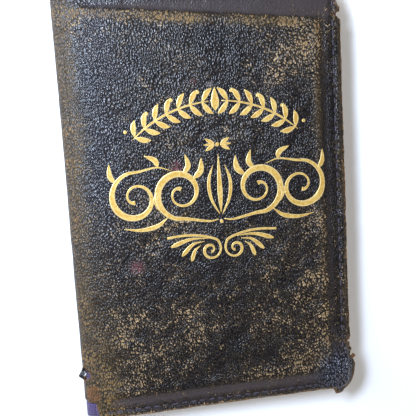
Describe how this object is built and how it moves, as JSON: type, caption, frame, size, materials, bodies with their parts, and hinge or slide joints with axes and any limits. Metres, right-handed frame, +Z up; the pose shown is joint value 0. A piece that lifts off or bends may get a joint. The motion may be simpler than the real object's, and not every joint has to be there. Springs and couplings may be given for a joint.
{
  "type": "pocket leather cover with record booklet",
  "caption": "Worn black leather folding cover, gilt-stamped and cloth-lined, holding a small stapled record booklet in two pockets; the spine flexes and the leaves fan as it opens.",
  "frame": {"origin": "centre of the back cover's raised outer face, which the closed object lies on", "axes": "+X from the spine to the fore-edge, +Y from the tail to the head, +Z up through the closed thickness"},
  "size_m": [0.088, 0.132, 0.0104],
  "materials": {
    "leather": "black pebble-grain leather, worn brown and tan on the grain tops and along folds and edges",
    "board": "grey-brown binder's board",
    "lining": "faded violet cotton lining cloth",
    "pocket": "thin smooth black skiver leather",
    "thread": "faded lilac waxed thread",
    "card": "dull red booklet cover card, cloth grained",
    "paper": "aged cream ruled paper",
    "staple": "dulled steel wire",
    "gilt": "gold foil stamped in the leather, slightly flaked"
  },
  "bodies": {
    "back_cover": {"back_cover_leather": "leather", "back_board": "board", "back_lining": "lining", "back_pocket": "pocket", "back_stitching": "thread", "back_booklet_card": "card"},
    "spine_back": {"spine_back_leather": "leather", "spine_back_lining": "lining"},
    "spine_middle": {"spine_middle_leather": "leather", "spine_middle_lining": "lining", "booklet_spine_card": "card", "booklet_staples": "staple"},
    "spine_front": {"spine_front_leather": "leather", "spine_front_lining": "lining"},
    "front_cover": {"front_cover_leather": "leather", "front_board": "board", "front_lining": "lining", "front_pocket": "pocket", "front_stitching": "thread", "front_booklet_card": "card", "gilt_arch": "gilt", "gilt_mark": "gilt", "gilt_flourish": "gilt", "gilt_scroll_spine_side": "gilt", "gilt_scroll_fore_side": "gilt"},
    "back_pages": {"back_leaves": "paper"},
    "front_pages": {"front_leaves": "paper"},
    "page_1": {"leaf_1": "paper"},
    "page_2": {"leaf_2": "paper"},
    "page_3": {"leaf_3": "paper"},
    "page_4": {"leaf_4": "paper"},
    "page_5": {"leaf_5": "paper"}
  },
  "joints": [
    {"name": "back_fold", "type": "hinge", "parent": "back_cover", "child": "spine_back", "pos_m": [-0.03885, 0, 0], "axis": [0, -1, 0], "range_deg": [0, 30]},
    {"name": "lower_spine_fold", "type": "hinge", "parent": "spine_back", "child": "spine_middle", "pos_m": [-0.04331, 0, 0.00258], "axis": [0, -1, 0], "range_deg": [0, 60]},
    {"name": "upper_spine_fold", "type": "hinge", "parent": "spine_middle", "child": "spine_front", "pos_m": [-0.04331, 0, 0.00773], "axis": [0, -1, 0], "range_deg": [0, 60]},
    {"name": "front_fold", "type": "hinge", "parent": "spine_front", "child": "front_cover", "pos_m": [-0.03885, 0, 0.0103], "axis": [0, -1, 0], "range_deg": [0, 30]},
    {"name": "back_pages_fold", "type": "hinge", "parent": "spine_middle", "child": "back_pages", "pos_m": [-0.03816, 0, 0.00515], "axis": [0, -1, 0], "range_deg": [-90, 0]},
    {"name": "front_pages_fold", "type": "hinge", "parent": "spine_middle", "child": "front_pages", "pos_m": [-0.03816, 0, 0.00515], "axis": [0, -1, 0], "range_deg": [0, 90]},
    {"name": "page_1_fold", "type": "hinge", "parent": "spine_middle", "child": "page_1", "pos_m": [-0.03816, 0, 0.00515], "axis": [0, -1, 0], "range_deg": [-81, 0]},
    {"name": "page_2_fold", "type": "hinge", "parent": "spine_middle", "child": "page_2", "pos_m": [-0.03816, 0, 0.00515], "axis": [0, -1, 0], "range_deg": [-64.8, 0]},
    {"name": "page_3_fold", "type": "hinge", "parent": "spine_middle", "child": "page_3", "pos_m": [-0.03816, 0, 0.00515], "axis": [0, -1, 0], "range_deg": [-13.5, 0]},
    {"name": "page_4_fold", "type": "hinge", "parent": "spine_middle", "child": "page_4", "pos_m": [-0.03816, 0, 0.00515], "axis": [0, -1, 0], "range_deg": [0, 55.8]},
    {"name": "page_5_fold", "type": "hinge", "parent": "spine_middle", "child": "page_5", "pos_m": [-0.03816, 0, 0.00515], "axis": [0, -1, 0], "range_deg": [0, 77.4]}
  ],
  "couplings": [
    {"joint": "lower_spine_fold", "follows": "back_fold", "ratio": 2},
    {"joint": "upper_spine_fold", "follows": "back_fold", "ratio": 2},
    {"joint": "front_fold", "follows": "back_fold", "ratio": 1},
    {"joint": "back_pages_fold", "follows": "back_fold", "ratio": -3},
    {"joint": "front_pages_fold", "follows": "back_fold", "ratio": 3},
    {"joint": "page_1_fold", "follows": "back_fold", "ratio": -2.7},
    {"joint": "page_2_fold", "follows": "back_fold", "ratio": -2.16},
    {"joint": "page_3_fold", "follows": "back_fold", "ratio": -0.45},
    {"joint": "page_4_fold", "follows": "back_fold", "ratio": 1.86},
    {"joint": "page_5_fold", "follows": "back_fold", "ratio": 2.58}
  ]
}
